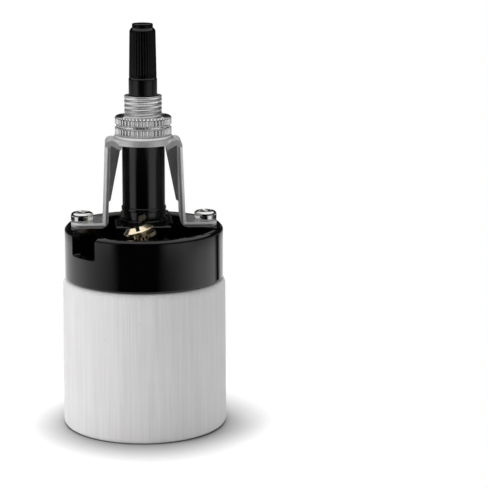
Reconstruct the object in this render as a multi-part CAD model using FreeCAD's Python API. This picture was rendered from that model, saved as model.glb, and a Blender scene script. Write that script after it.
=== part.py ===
"""Turn-knob lamp socket: porcelain body, screw shell, rotary switch, neck, nipple and bracket.

Millimetres, +Z up. The socket stands on its mouth, and the origin is the centre of the mouth's
rim on the floor. X runs through the two bracket feet, -Y is the front with the hot terminal.
Every piece is one function that returns its solid, and sizes that meet are worked out from the
same named values.
"""
import FreeCAD
import Part
import math
import os

V = FreeCAD.Vector
UP = V(0, 0, 1)

# Porcelain body
BODY_H = 35.2            # height of the porcelain
BODY_R_MOUTH = 19.27     # outer radius just above the floor
BODY_R_TOP = 19.0        # outer radius at the shoulder
BODY_MOUTH_ROUND = 1.1   # outer edge of the mouth
BODY_SHOULDER_ROUND = 1.6
MOUTH_R = 16.2           # inner radius of the mouth
MOUTH_LIP_ROUND = 0.9
THROAT_R = 14.8          # where the mouth's taper ends
THROAT_Z = 5.8
WEB_Z = BODY_H - 7.9     # underside of the porcelain web that carries the screw shell
BAR_W = 12.5             # porcelain bar that passes through the shell's floor
BAR_DROP = 1.3           # how far the bar stands out of the web
GROOVE_W = 8.1           # groove along the bar, for the centre contact
GROOVE_DEPTH = 1.0
BAR_ANGLE = 58.0         # direction of the bar, from +X towards +Y

# Screw shell, for a medium screw base
THREAD_PITCH = 3.629     # seven turns to the inch
THREAD_R_IN = 12.93      # mean inner radius of the rolled thread
THREAD_WAVE = 0.37       # how far a section's centre stands off the axis
SHELL_T = 0.4
SHELL_RIM_Z = THROAT_Z   # the open end
SHELL_LIP_R = 13.8       # outside of the lip
SHELL_LIP_H = 1.3
SHELL_PLAIN_R = 12.9     # plain part by the floor, outside
SHELL_PLAIN_H = 3.2
SHELL_BEND = 1.0
SHELL_SLOT_GAP = 0.3     # each side of the bar
THREAD_STEPS = 10        # sections for each turn

# Tubular rivets
RIVET_R = 1.9            # outside of the barrel
RIVET_HOLE_R = 1.4
RIVET_FLANGE_R = 2.3
RIVET_FLANGE_T = 0.5
RIVET_ROLL_R = 2.1       # the end that is rolled over
SHELL_RIVET_AT = 9.5     # from the axis
CONTACT_RIVET_AT = 8.8

# Centre contact
CONTACT_T = 0.5
CONTACT_W = 7.5
CONTACT_TAIL = 2.2       # strip beyond the rivet
CONTACT_NOSE = 4.7       # strip beyond the axis
CONTACT_RISE = 2.3       # joggle
CONTACT_JOGGLE_FROM = 5.6
CONTACT_JOGGLE_TO = 3.8
CONTACT_BEND = 0.5
DOME_R = 2.3
DOME_H = 0.9

# Switch housing, the black cup
CUP_R = 18.475
CUP_WALL = 2.2
CUP_INNER_R = CUP_R - CUP_WALL
CUP_FLOOR_Z = BODY_H + 5.4
CUP_RIM_Z = BODY_H + 12.1
CUP_RIM_ROUND = 0.8
CUP_FOOT_ROUND = 0.5
CUP_INSIDE_ROUND = 0.6
PAD_Z = CUP_RIM_Z + 0.25  # bosses under the bracket's feet
BOSS_INNER_HALF = 2.2
BOSS_SLOPE = 0.577       # how the boss widens outwards
NOTCH_ANGLE = 218.0      # middle of the wire notch
NOTCH_W = 8.2
NOTCH_FLOOR_Z = CUP_FLOOR_Z + 1.4
NOTCH_ROUND = 1.0
TOWER_HALF = 6.7         # block round the switch
TOWER_CORNER_R = 9.25
TOWER_EDGE_ROUND = 0.5
TOWER_Z = CUP_RIM_Z + 1.1
CHAMBER_R = 5.6
CHAMBER_ROOF_Z = TOWER_Z - 2.0
RIB_X = 3.9              # wall beside each terminal, its near face
RIB_T = 1.2
RIB_DROP = 0.6           # below the rim
RIB_FALL = 1.875         # its top starts to fall this far inside the wall
RIB_FALL_ANGLE = 32.0

# Switch neck, nipple and ring nut
NECK_R = 4.95
NECK_SPIGOT_R = 3.9
NECK_BEAD_R = 5.2
NECK_BEAD_Z = TOWER_Z + 2.8
NECK_BEAD_H = 0.9
NECK_BAND_R = 4.65
NECK_FLANGE_R = 5.4
NECK_FLANGE_H = 0.8
NECK_KEY_W = 0.9         # small key across the band, at the front
NECK_KEY_X = -0.95
CLIP_T = 0.4             # spring clip round the band
CLIP_MARGIN = 0.2        # between the clip and the flange or the bead
CLIP_FRONT = 0.6         # how far its ends come round to the front
CLIP_EAR_LEFT = 0.7      # reach of its ends from the band
CLIP_EAR_W = 0.35
CLIP_EAR_RIGHT = 1.65
CLIP_TAB_W = 1.3
CLIP_TAB_DROP = 1.0
NIPPLE_R = 4.35
NIPPLE_RISE = 9.1        # top of the nipple above the bracket
NIPPLE_BORE_R = 3.7
NIPPLE_MOUTH_R = 4.0
NIPPLE_COLLAR_GAP = 0.3   # between the nipple's collar and the bracket's skirt
NIPPLE_COLLAR_H = 0.7
NIPPLE_SHANK_R = 3.9
NIPPLE_SHANK_L = 9.0
NIPPLE_CHAMFER = 0.2
NUT_R = 6.55
NUT_H = 4.35
NUT_BAND_H = 1.4
NUT_GROOVE_R = 6.05
NUT_CHAMFER = 0.35
NUT_TEETH = 46
NUT_TOOTH_DEPTH = 0.28
NUT_DISH_R = 5.8
NUT_DISH_DEPTH = 1.0
NUT_CLEAR = 0.06         # thread play, at the radius

# Bracket
SHEET = 1.2
BRACKET_TOP_Z = PAD_Z + 21.25
DISC_R = 7.0
DISC_ROUND = 0.8
SKIRT_H = 2.0
ARM_W = 8.0
ARM_OUT = 1.75           # outer face of the arm beyond the disc, at the disc's level
ARM_SPLAY = 0.8          # how much further out it stands at the foot
ARM_CORNER = 0.1         # where the faces of root and arm would cross, above the disc
ARM_RISE = 30.0          # slope of the arm's root, from the skirt up to the bend
ARM_BEND = 0.2           # inner radius
FOOT_BEND = 0.5
FOOT_SCREW_OFF = 0.34    # the screw stands this far outwards of the foot's middle
FOOT_LIP = 2.55          # foot beyond the screw's axis
FOOT_CORNER = 2.8
GUSSET_W = 2.3           # flange along the arm's rear edge, at its top
GUSSET_L = 14.6
GUSSET_TIP = 0.5
BRACKET_HOLE_CLEAR = 0.1

# Bracket screws
PAN_R = 2.62
PAN_H = 1.7
PAN_ROUND = 0.5
PAN_SHANK_R = 1.4
PAN_SHANK_L = 9.5
PAN_RECESS_W = 0.62
PAN_RECESS_L = 3.0
PAN_RECESS_DEPTH = 1.0

# Knob and spindle
KNOB_FOOT_Z = BRACKET_TOP_Z + 3.8
KNOB_L = 21.75
KNOB_COLLAR_R = 2.4
KNOB_COLLAR_H = 1.0
KNOB_R_TOP = 2.96
KNOB_R_LOW = 3.17
KNOB_SHOULDER = 0.6
KNOB_PLAIN_R = 3.28
KNOB_PLAIN_L = 9.0
KNOB_BEVEL = 0.35
KNOB_FLUTES = 36
KNOB_FLUTE_DEPTH = 0.1
KNOB_SOCKET_L = 13.0
SPINDLE_R = 2.0
SPINDLE_TIP_R = 1.6
BEARING_CLEAR = 0.05
BEARING_L = 8.0

# Rotor and switch contacts
ROTOR_R = 4.9
INDEX_FLATS = 6.6        # across the flats of the index block
INDEX_CORNER_R = 3.7
INDEX_H = 2.6
ROTOR_ROOF_GAP = 0.5
BLADE_DROP = 0.6         # top of the blade below the top of the porcelain
BLADE_T = 0.6
BLADE_L = 10.4
BLADE_W = 3.2
STRIKE_GAP = 0.3         # between the blade and a fixed contact
WELL_Z = BODY_H - 4.0    # floor of the recess in the porcelain
WELL_R = 7.2
STRIP_T = 0.6
STRIP_W = 5.0
STRIP_BEND = 0.4
STRIKE_L = 2.2           # flat end of a contact, under the blade's tip
STRIKE_RAMP = 1.0        # its fall beyond the tip, along the strip
RISER_OUT = 1.6          # line contact's riser beyond the round of the recess
LINE_RISE = 2.1          # line contact above the cup's floor, up to the hot plate
SPRING_T = 0.35
STRAP_W = 4.0            # neutral strap, from the left shell rivet to the neutral plate
STRAP_EYE_R = 2.45
STRAP_WALL_GAP = 0.1     # between the strap and the foot of the cup's wall

# Terminals
TERMINAL_TILT = 17.0
TERMINAL_GAP = 0.3       # between tower and plate
TERMINAL_X = 0.65        # foot of the screw's axis on the plate
TERMINAL_Z = CUP_FLOOR_Z + 4.4   # top face of the plate at that axis
PLATE_T = 0.9
PLATE_HALF = 3.5
PLATE_STRAP = 0.05       # between the end of the strap and the plate's high side
POCKET_CLEAR = 0.1       # between the terminal and the cup's wall
WIRE_GAP = 1.6           # between plate and washer, for the wire
HEAD_GAP = 0.9           # between washer and head, while the screw is backed out
WASHER_R = 3.7
WASHER_T = 0.8
WASHER_TEETH = 28
WASHER_TOOTH = 0.22
BIND_R = 3.6
BIND_H = 1.4
BIND_RIM = 0.35
BIND_CROWN_R = 2.2
BIND_SLOT_W = 0.9
BIND_SLOT_DEPTH = 0.8
BIND_SHANK_R = 1.75
BIND_SHANK_L = 6.4
SCREW_PLAY = 0.06

# Values that follow
WEB_TOP = BODY_H
DISC_UNDER_Z = BRACKET_TOP_Z - SHEET
FOOT_TOP_Z = PAD_Z + SHEET
NIPPLE_COLLAR_R = DISC_R - SHEET - NIPPLE_COLLAR_GAP
ARM_X_TOP = DISC_R + ARM_OUT
ARM_X_FOOT = ARM_X_TOP + ARM_SPLAY
BOSS_INNER_X = ARM_X_FOOT + 0.2
FOOT_SCREW_X = (ARM_X_FOOT + CUP_R) / 2 + FOOT_SCREW_OFF
FOOT_END_X = FOOT_SCREW_X + FOOT_LIP
NECK_TOP_Z = DISC_UNDER_Z - NIPPLE_COLLAR_H
NIPPLE_TOP_Z = BRACKET_TOP_Z + NIPPLE_RISE
KNOB_TOP_Z = KNOB_FOOT_Z + KNOB_L
KNOB_PLAIN_TOP_Z = KNOB_FOOT_Z + KNOB_PLAIN_L
TERMINAL_Y = TOWER_HALF + TERMINAL_GAP + PLATE_HALF
LEAN = math.radians(TERMINAL_TILT)
PLATE_HIGH_Z = TERMINAL_Z + PLATE_HALF * math.sin(LEAN) - PLATE_T * math.cos(LEAN)
STRAP_TOP_Z = PLATE_HIGH_Z - PLATE_STRAP
SHELL_FLOOR_Z = WEB_Z - SHELL_T
BAR_Z = WEB_Z - BAR_DROP
GROOVE_Z = BAR_Z + GROOVE_DEPTH
BAR_REACH = SHELL_PLAIN_R - SHELL_BEND - 0.1
INDEX_TOP_Z = CHAMBER_ROOF_Z - ROTOR_ROOF_GAP
ROTOR_TOP_Z = INDEX_TOP_Z - INDEX_H
BLADE_TOP_Z = WEB_TOP - BLADE_DROP
STRIKE_Z = BLADE_TOP_Z - BLADE_T - STRIKE_GAP
BAND_Z = TOWER_Z + NECK_FLANGE_H
LINE_TOP_Z = CUP_FLOOR_Z + LINE_RISE


def rounded(corners, place):
    """Closed wire through corners (u, v, radius); place turns (u, v) into a point in space."""
    count = len(corners)
    starts, ends, mids = [], [], []
    for i in range(count):
        u, v, radius = corners[i]
        here = V(u, v, 0)
        before = V(corners[i - 1][0], corners[i - 1][1], 0) - here
        after = V(corners[(i + 1) % count][0], corners[(i + 1) % count][1], 0) - here
        before.normalize()
        after.normalize()
        half = before.getAngle(after) / 2
        if radius <= 0 or abs(half - math.pi / 2) < 1e-6:
            starts.append(here)
            ends.append(here)
            mids.append(None)
            continue
        cut = radius / math.tan(half)
        inward = before + after
        inward.normalize()
        starts.append(here + before * cut)
        ends.append(here + after * cut)
        mids.append(here + inward * (radius / math.sin(half) - radius))
    edges = []
    for i in range(count):
        if mids[i] is not None:
            arc = Part.Arc(place(starts[i]), place(mids[i]), place(ends[i]))
            edges.append(arc.toShape())
        nxt = starts[(i + 1) % count]
        if ends[i].distanceToPoint(nxt) > 1e-6:
            edges.append(Part.makeLine(place(ends[i]), place(nxt)))
    return Part.Wire(edges)


def turned(corners):
    """Solid of revolution about Z from corners (radius, z, rounding)."""
    face = Part.Face(rounded(corners, lambda p: V(p.x, 0, p.y)))
    return face.revolve(V(0, 0, 0), UP, 360)


def plate(corners, z, thick):
    """Flat plate from corners (x, y, rounding), between z and z + thick."""
    face = Part.Face(rounded(corners, lambda p: V(p.x, p.y, z)))
    return face.extrude(UP * thick)


def side(corners, y, width):
    """Prism from corners (x, z, rounding), between y and y + width."""
    face = Part.Face(rounded(corners, lambda p: V(p.x, y, p.y)))
    return face.extrude(V(0, width, 0))


def ribbon(path, thick):
    """Outline of a bent strip: path (x, z, inner bend radius) is its left-hand face.

    The strip lies to the right of the path. Each corner of the other face is where the two
    offset lines cross, and it is rounded by the inner radius plus the thickness, or less it.
    """
    points = [V(p[0], p[1], 0) for p in path]
    normals = []
    for a, b in zip(points, points[1:]):
        along = (b - a).normalize()
        normals.append(V(along.y, -along.x, 0))
    near = []
    far = []
    for i, point in enumerate(points):
        if i == 0 or i == len(points) - 1:
            shift = normals[min(i, len(normals) - 1)] * thick
            near.append((point.x, point.y, 0))
            far.append((point.x + shift.x, point.y + shift.y, 0))
            continue
        first, second = normals[i - 1], normals[i]
        shift = (first + second) * (thick / (1 + first.dot(second)))
        towards_far = first.x * second.y - first.y * second.x < 0
        bend = path[i][2]
        near.append((point.x, point.y, bend + thick if towards_far else bend))
        far.append((point.x + shift.x, point.y + shift.y, bend if towards_far else bend + thick))
    return near + far[::-1]


def drum(radius, z_low, z_high, x=0.0, y=0.0):
    """Upright cylinder between two levels."""
    return Part.makeCylinder(radius, z_high - z_low, V(x, y, z_low))


def block(x0, x1, y0, y1, z0, z1):
    """Box between two corners."""
    return Part.makeBox(x1 - x0, y1 - y0, z1 - z0, V(x0, y0, z0))


def spun(shape, angle):
    """Copy of a shape, turned about Z."""
    copy = shape.copy()
    copy.rotate(V(0, 0, 0), UP, angle)
    return copy


def star(teeth, radius, depth, z):
    """Closed wire of a straight knurl: teeth crests at radius, roots at radius less depth."""
    points = []
    for i in range(2 * teeth):
        reach = radius if i % 2 == 0 else radius - depth
        angle = math.pi * i / teeth
        points.append(V(reach * math.cos(angle), reach * math.sin(angle), z))
    return Part.makePolygon(points + points[:1])


def union(first, *others):
    """Fused solid with its split faces merged."""
    return first.fuse(list(others)).removeSplitter()


def on_circle(distance, angle):
    """Point in the plan at a distance from the axis."""
    return (distance * math.cos(math.radians(angle)), distance * math.sin(math.radians(angle)))


def shell_rivet_places():
    """The two shell rivets stand square to the bar."""
    return [on_circle(SHELL_RIVET_AT, BAR_ANGLE - 90), on_circle(SHELL_RIVET_AT, BAR_ANGLE + 90)]


def well():
    """Recess in the top of the porcelain that the switch contacts stand in."""
    round_part = drum(WELL_R, WELL_Z, WEB_TOP)
    reach = CONTACT_RIVET_AT + RIVET_ROLL_R + 0.5
    arm = block(0, reach, -STRIP_W / 2 - 0.6, STRIP_W / 2 + 0.6, WELL_Z, WEB_TOP)
    both = round_part.fuse(spun(arm, BAR_ANGLE))
    return both.fuse(spun(arm, BAR_ANGLE + 180))


def make_porcelain_body():
    """Turned body with a web, the bar below it, the switch recess above and three rivet holes."""
    body = turned([
        (0, WEB_Z, 0),
        (THROAT_R, WEB_Z, 0.8),
        (THROAT_R, THROAT_Z, 2.0),
        (MOUTH_R, 0, MOUTH_LIP_ROUND),
        (BODY_R_MOUTH, 0, BODY_MOUTH_ROUND),
        (BODY_R_TOP, BODY_H, BODY_SHOULDER_ROUND),
        (0, BODY_H, 0),
    ])
    bar = block(-BAR_REACH, BAR_REACH, -BAR_W / 2, BAR_W / 2, BAR_Z, WEB_Z + 1)
    bar = bar.common(drum(BAR_REACH, BAR_Z, WEB_Z + 1))
    groove = block(-BAR_REACH, BAR_REACH, -GROOVE_W / 2, GROOVE_W / 2, BAR_Z - 1, GROOVE_Z)
    body = body.fuse(spun(bar.cut(groove), BAR_ANGLE))
    body = body.cut(well())
    for x, y in shell_rivet_places():
        body = body.cut(drum(RIVET_R, WEB_Z - 5, WEB_TOP + 5, x, y))
    x, y = on_circle(CONTACT_RIVET_AT, BAR_ANGLE)
    return body.cut(drum(RIVET_R, BAR_Z - 5, WEB_TOP + 5, x, y)).removeSplitter()


def thread_core(mean_radius, z_low, z_high):
    """Solid core of a rolled thread.

    Every level section is a circle whose centre stands off the axis and runs round it once
    in each pitch. Lofting through those circles gives the round helical thread. The offset
    grows from nothing at the ends, so the thread runs out into plain rims.
    """
    turns = (z_high - z_low) / THREAD_PITCH
    steps = int(round(turns * THREAD_STEPS))
    sections = []
    for i in range(steps + 1):
        share = i / steps
        fade = min(1.0, 4 * share, 4 * (1 - share))
        angle = 2 * math.pi * turns * share
        off = THREAD_WAVE * fade
        centre = V(off * math.cos(angle), off * math.sin(angle), z_low + (z_high - z_low) * share)
        sections.append(Part.Wire(Part.Circle(centre, UP, mean_radius).toShape()))
    return Part.makeLoft(sections, True)


def make_screw_shell():
    """Rolled shell: lip, helical thread, plain end and a floor slotted for the bar."""
    lip_top = SHELL_RIM_Z + SHELL_LIP_H
    plain_z = WEB_Z - SHELL_PLAIN_H
    outer_r = THREAD_R_IN + SHELL_T
    outside = turned([
        (0, SHELL_RIM_Z, 0),
        (SHELL_LIP_R, SHELL_RIM_Z, 0),
        (outer_r, lip_top, 0),
        (0, lip_top, 0),
    ])
    inside = turned([
        (0, SHELL_RIM_Z, 0),
        (SHELL_LIP_R - SHELL_T, SHELL_RIM_Z, 0),
        (THREAD_R_IN, lip_top, 0),
        (0, lip_top, 0),
    ])
    cap_out = turned([
        (0, plain_z, 0),
        (outer_r, plain_z, 0),
        (SHELL_PLAIN_R, plain_z + SHELL_BEND, 0),
        (SHELL_PLAIN_R, WEB_Z, SHELL_BEND),
        (0, WEB_Z, 0),
    ])
    cap_in = turned([
        (0, plain_z, 0),
        (THREAD_R_IN, plain_z, 0),
        (SHELL_PLAIN_R - SHELL_T, plain_z + SHELL_BEND, 0),
        (SHELL_PLAIN_R - SHELL_T, SHELL_FLOOR_Z, SHELL_BEND - SHELL_T),
        (0, SHELL_FLOOR_Z, 0),
    ])
    lip = outside.cut(inside)
    thread = thread_core(outer_r, lip_top, plain_z).cut(thread_core(THREAD_R_IN, lip_top, plain_z))
    shell = lip.fuse([thread, cap_out.cut(cap_in)])
    half = BAR_W / 2 + SHELL_SLOT_GAP
    slot = block(-SHELL_PLAIN_R, SHELL_PLAIN_R, -half, half, SHELL_FLOOR_Z - 0.2, WEB_Z + 0.5)
    slot = slot.common(drum(BAR_REACH + 0.05, SHELL_FLOOR_Z - 0.2, WEB_Z + 0.5))
    shell = shell.cut(spun(slot, BAR_ANGLE))
    for x, y in shell_rivet_places():
        shell = shell.cut(drum(RIVET_R, SHELL_FLOOR_Z - 1, WEB_Z + 1, x, y))
    return shell


def rivet(x, y, seat_z, end_z):
    """Tubular rivet: formed flange under seat_z and a rolled end above end_z."""
    body = turned([
        (RIVET_HOLE_R, seat_z - RIVET_FLANGE_T, 0.2),
        (RIVET_FLANGE_R, seat_z - RIVET_FLANGE_T, 0.3),
        (RIVET_FLANGE_R, seat_z, 0),
        (RIVET_R, seat_z, 0),
        (RIVET_R, end_z, 0),
        (RIVET_ROLL_R + 0.2, end_z, 0),
        (RIVET_ROLL_R, end_z + RIVET_FLANGE_T, 0.2),
        (RIVET_HOLE_R, end_z + RIVET_FLANGE_T, 0.2),
    ])
    body.translate(V(x, y, 0))
    return body


def make_shell_rivet(number):
    """Holds shell, porcelain and housing together; the neutral one also holds its strap."""
    x, y = shell_rivet_places()[number]
    end = CUP_FLOOR_Z + (STRIP_T if number == 1 else 0)
    return rivet(x, y, SHELL_FLOOR_Z, end)


def make_contact_rivet():
    """Holds the centre contact below the web and the load contact above it."""
    x, y = on_circle(CONTACT_RIVET_AT, BAR_ANGLE)
    return rivet(x, y, GROOVE_Z - CONTACT_T, WELL_Z + STRIP_T)


def make_centre_contact():
    """Copper strip in the bar's groove: flat tail, joggle and a sprung tongue with a dome."""
    tail_x = CONTACT_RIVET_AT + CONTACT_TAIL
    low_z = GROOVE_Z - CONTACT_RISE
    path = [
        (tail_x, GROOVE_Z, 0),
        (CONTACT_JOGGLE_FROM, GROOVE_Z, CONTACT_BEND),
        (CONTACT_JOGGLE_TO, low_z, CONTACT_BEND),
        (-CONTACT_NOSE, low_z, 0),
    ]
    corners = [(x, z, r) for x, z, r in ribbon(path[::-1], CONTACT_T)]
    strip = side(corners, -CONTACT_W / 2, CONTACT_W)
    plan = plate([
        (tail_x, -CONTACT_W / 2, 0.3),
        (tail_x, CONTACT_W / 2, 0.3),
        (-CONTACT_NOSE, CONTACT_W / 2, CONTACT_W / 2 - 0.05),
        (-CONTACT_NOSE, -CONTACT_W / 2, CONTACT_W / 2 - 0.05),
    ], low_z - CONTACT_T, CONTACT_RISE + 2 * CONTACT_T)
    strip = strip.common(plan)
    under = low_z - CONTACT_T
    dome = turned([
        (0, under - DOME_H, 0),
        (DOME_R * 0.55, under - DOME_H, 0.5),
        (DOME_R, under, 0),
        (0, under, 0),
    ])
    hollow = turned([
        (0, under - DOME_H + CONTACT_T, 0),
        (DOME_R * 0.4, under - DOME_H + CONTACT_T, 0.3),
        (DOME_R - CONTACT_T, low_z, 0),
        (0, low_z, 0),
    ])
    strip = strip.fuse(dome).cut(hollow)
    strip = strip.cut(drum(RIVET_R, low_z - 5, GROOVE_Z + 5, CONTACT_RIVET_AT, 0))
    return spun(strip.removeSplitter(), BAR_ANGLE)


def boss():
    """Trapezoid boss under the right-hand foot; it widens towards the wall."""
    outer_half = BOSS_INNER_HALF + (CUP_R - BOSS_INNER_X) * BOSS_SLOPE
    wedge = plate([
        (BOSS_INNER_X, -BOSS_INNER_HALF, 0.6),
        (CUP_R + 1, -outer_half, 0),
        (CUP_R + 1, outer_half, 0),
        (BOSS_INNER_X, BOSS_INNER_HALF, 0.6),
    ], CUP_FLOOR_Z - 1, PAD_Z - CUP_FLOOR_Z + 1)
    envelope = turned([
        (0, CUP_FLOOR_Z - 2, 0),
        (CUP_R, CUP_FLOOR_Z - 2, 0),
        (CUP_R, CUP_RIM_Z - CUP_RIM_ROUND, 0),
        (CUP_R - 0.6, PAD_Z, 0.5),
        (0, PAD_Z, 0),
    ])
    return wedge.common(envelope)


def tilted(shape, sign):
    """Move a piece made on the local axis to the terminal in front (-1) or behind (+1)."""
    copy = shape.copy()
    copy.rotate(V(0, 0, 0), V(0, 1, 0), -TERMINAL_TILT)
    copy.translate(V(-TERMINAL_X, -TERMINAL_Y, TERMINAL_Z))
    return copy if sign < 0 else spun(copy, 180)


def terminal_seat():
    """Ramp under a tilted terminal plate, the well for the screw's end and the room above it."""
    lean = math.tan(LEAN)
    under = TERMINAL_Z - PLATE_T / math.cos(LEAN)
    x0, x1 = -TERMINAL_X - PLATE_HALF, -TERMINAL_X + PLATE_HALF
    ramp = side([
        (x0, CUP_FLOOR_Z - 0.5, 0),
        (x1, CUP_FLOOR_Z - 0.5, 0),
        (x1, under + (x1 + TERMINAL_X) * lean, 0),
        (x0, under + (x0 + TERMINAL_X) * lean, 0),
    ], -TERMINAL_Y - PLATE_HALF, TERMINAL_Y + PLATE_HALF - TOWER_HALF + 0.2)
    well_for_screw = drum(BIND_SHANK_R + 0.4, -BIND_SHANK_L, 0)
    reach = WASHER_R + POCKET_CLEAR
    top = WIRE_GAP + WASHER_T + HEAD_GAP + BIND_H
    pocket = block(-PLATE_HALF, PLATE_HALF, -reach, 0, 0, top).fuse(drum(reach, WIRE_GAP, top))
    pocket = pocket.common(block(-reach, reach, -reach, 0, 0, top))
    plate_room = block(-PLATE_HALF, PLATE_HALF, -reach, 0, -PLATE_T, 0)
    return ramp, tilted(well_for_screw, -1), tilted(pocket.fuse(plate_room), -1)


def terminal_rib():
    """Wall beside the hot terminal, from the tower to the cup's wall; its top falls outwards."""
    top = CUP_RIM_Z - RIB_DROP
    rib = side([
        (RIB_X, CUP_FLOOR_Z - 0.5, 0),
        (RIB_X + RIB_T, CUP_FLOOR_Z - 0.5, 0),
        (RIB_X + RIB_T, top, 0.3),
        (RIB_X, top, 0.3),
    ], -CUP_INNER_R - 0.4, CUP_INNER_R - TOWER_HALF + 0.6)
    start = RIB_FALL - CUP_INNER_R
    outer = -CUP_INNER_R - 1
    wedge = Part.makePolygon([
        V(0, start, top),
        V(0, outer, top),
        V(0, outer, top - (start - outer) * math.tan(math.radians(RIB_FALL_ANGLE))),
        V(0, start, top),
    ])
    return rib.cut(Part.Face(wedge).extrude(V(CUP_R, 0, 0)))


def wire_notch():
    """Slot through the cup's wall that lets the wires out, flared at the rim."""
    half = NOTCH_W / 2
    notch = side([
        (-half, NOTCH_FLOOR_Z, NOTCH_ROUND * 0.5),
        (half, NOTCH_FLOOR_Z, NOTCH_ROUND * 0.5),
        (half, CUP_RIM_Z - NOTCH_ROUND, 0),
        (half + NOTCH_ROUND, CUP_RIM_Z + 1, 0),
        (-half - NOTCH_ROUND, CUP_RIM_Z + 1, 0),
        (-half, CUP_RIM_Z - NOTCH_ROUND, 0),
    ], CUP_INNER_R - 1.6, CUP_WALL + 3)
    return spun(notch, NOTCH_ANGLE - 90)


def strap_passage():
    """Opening at the foot of the rear wall that the neutral strap goes through."""
    half = STRAP_W / 2 + 0.3
    return block(-RIB_X - RIB_T - 0.2, -RIB_X + 0.2, TERMINAL_Y - half, TERMINAL_Y + half,
                 CUP_FLOOR_Z, CUP_FLOOR_Z + STRIP_T + 0.3)


def make_switch_housing():
    """Moulded cup: wall, floor, two bosses, switch tower with its chamber, seats and a notch."""
    cup = turned([
        (0, WEB_TOP, 0),
        (CUP_R, WEB_TOP, CUP_FOOT_ROUND),
        (CUP_R, CUP_RIM_Z, CUP_RIM_ROUND),
        (CUP_INNER_R, CUP_RIM_Z, CUP_RIM_ROUND),
        (CUP_INNER_R, CUP_FLOOR_Z, CUP_INSIDE_ROUND),
        (0, CUP_FLOOR_Z, 0),
    ])
    tower = block(-TOWER_HALF, TOWER_HALF, -TOWER_HALF, TOWER_HALF, CUP_FLOOR_Z - 1, TOWER_Z)
    tower = tower.common(drum(TOWER_CORNER_R, CUP_FLOOR_Z - 1, TOWER_Z))
    rim = [edge for edge in tower.Edges if edge.BoundBox.ZMin > TOWER_Z - 0.01]
    tower = tower.makeFillet(TOWER_EDGE_ROUND, rim)
    for x, y in shell_rivet_places():
        tower = tower.cut(drum(RIVET_FLANGE_R + 0.3, CUP_FLOOR_Z, TOWER_Z + 1, x, y))
    seat, screw_well, pocket = terminal_seat()
    rib = terminal_rib()
    cup = cup.fuse([tower, boss(), spun(boss(), 180), seat, spun(seat, 180), rib, spun(rib, 180)])
    chamber = drum(CHAMBER_R, WEB_TOP - 1, CHAMBER_ROOF_Z)
    cup = cup.cut([chamber, screw_well, spun(screw_well, 180), pocket, spun(pocket, 180)])
    cup = cup.cut([wire_notch(), strap_passage()])
    cup = cup.cut(drum(NECK_SPIGOT_R, CHAMBER_ROOF_Z - 1, TOWER_Z + 1))
    for x, y in shell_rivet_places():
        cup = cup.cut(drum(RIVET_R, WEB_TOP - 1, CUP_FLOOR_Z + 1, x, y))
    for x in (-FOOT_SCREW_X, FOOT_SCREW_X):
        cup = cup.cut(drum(PAN_SHANK_R, FOOT_TOP_Z - PAN_SHANK_L, PAD_Z + 1, x, 0))
    return cup.cut(line_slot()).removeSplitter()


def line_slot():
    """Slot through the floor beside the seat that the line contact goes down in."""
    x, y = line_strip_place()
    half = STRIP_W / 2 + 0.3
    slot = block(-0.2, STRIP_T + 0.2, -half, half, WEB_TOP - 1, LINE_TOP_Z + 0.2)
    slot = spun(slot, BAR_ANGLE + 180)
    slot.translate(V(x, y, 0))
    return slot


def line_strip_place():
    """Where the line contact's riser stands, on the far side of the well from the rivet."""
    return on_circle(WELL_R + RISER_OUT, BAR_ANGLE + 180)


def make_switch_neck():
    """Black neck: spigot, flange, grooved band, bead and a long tube with a counterbore."""
    bead_low = NECK_BEAD_Z
    neck = turned([
        (SPINDLE_R + BEARING_CLEAR, CHAMBER_ROOF_Z, 0),
        (NECK_SPIGOT_R, CHAMBER_ROOF_Z, 0.3),
        (NECK_SPIGOT_R, TOWER_Z, 0),
        (NECK_FLANGE_R, TOWER_Z, 0),
        (NECK_FLANGE_R, BAND_Z, 0.25),
        (NECK_BAND_R, BAND_Z, 0),
        (NECK_BAND_R, bead_low, 0),
        (NECK_BEAD_R, bead_low, 0.25),
        (NECK_BEAD_R, bead_low + NECK_BEAD_H, 0.25),
        (NECK_R, bead_low + NECK_BEAD_H, 0),
        (NECK_R, NECK_TOP_Z, 0),
        (NIPPLE_SHANK_R, NECK_TOP_Z, 0),
        (NIPPLE_SHANK_R, NECK_TOP_Z - NIPPLE_SHANK_L, 0),
        (SPINDLE_R + 0.6, NECK_TOP_Z - NIPPLE_SHANK_L, 0),
        (SPINDLE_R + 0.6, CHAMBER_ROOF_Z + BEARING_L, 0),
        (SPINDLE_R + BEARING_CLEAR, CHAMBER_ROOF_Z + BEARING_L, 0),
    ])
    key = block(NECK_KEY_X - NECK_KEY_W / 2, NECK_KEY_X + NECK_KEY_W / 2,
                -NECK_BEAD_R + 0.25, -NECK_BAND_R + 0.5, BAND_Z, bead_low + 0.2)
    return neck.fuse(key).removeSplitter()


def make_neck_clip():
    """Spring clip round the back of the band: a short left end and a right end bent down."""
    low, high = BAND_Z + CLIP_MARGIN, NECK_BEAD_Z - CLIP_MARGIN
    outer = NECK_BAND_R + CLIP_T
    ring = drum(outer, low, high).cut(drum(NECK_BAND_R, low, high))
    ring = ring.cut(block(-outer, outer, -outer, -CLIP_FRONT, low, high))
    left = block(-NECK_BAND_R - CLIP_EAR_LEFT, -outer + CLIP_T / 2,
                 -CLIP_FRONT, CLIP_EAR_W - CLIP_FRONT, low, high)
    tab = ribbon([
        (outer - CLIP_T / 2, high, 0),
        (outer + CLIP_T, high, CLIP_T),
        (NECK_BAND_R + CLIP_EAR_RIGHT, high - CLIP_TAB_DROP, 0),
    ], CLIP_T)
    return union(ring, left, side(tab, -CLIP_FRONT - CLIP_TAB_W / 2, CLIP_TAB_W))


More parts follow.
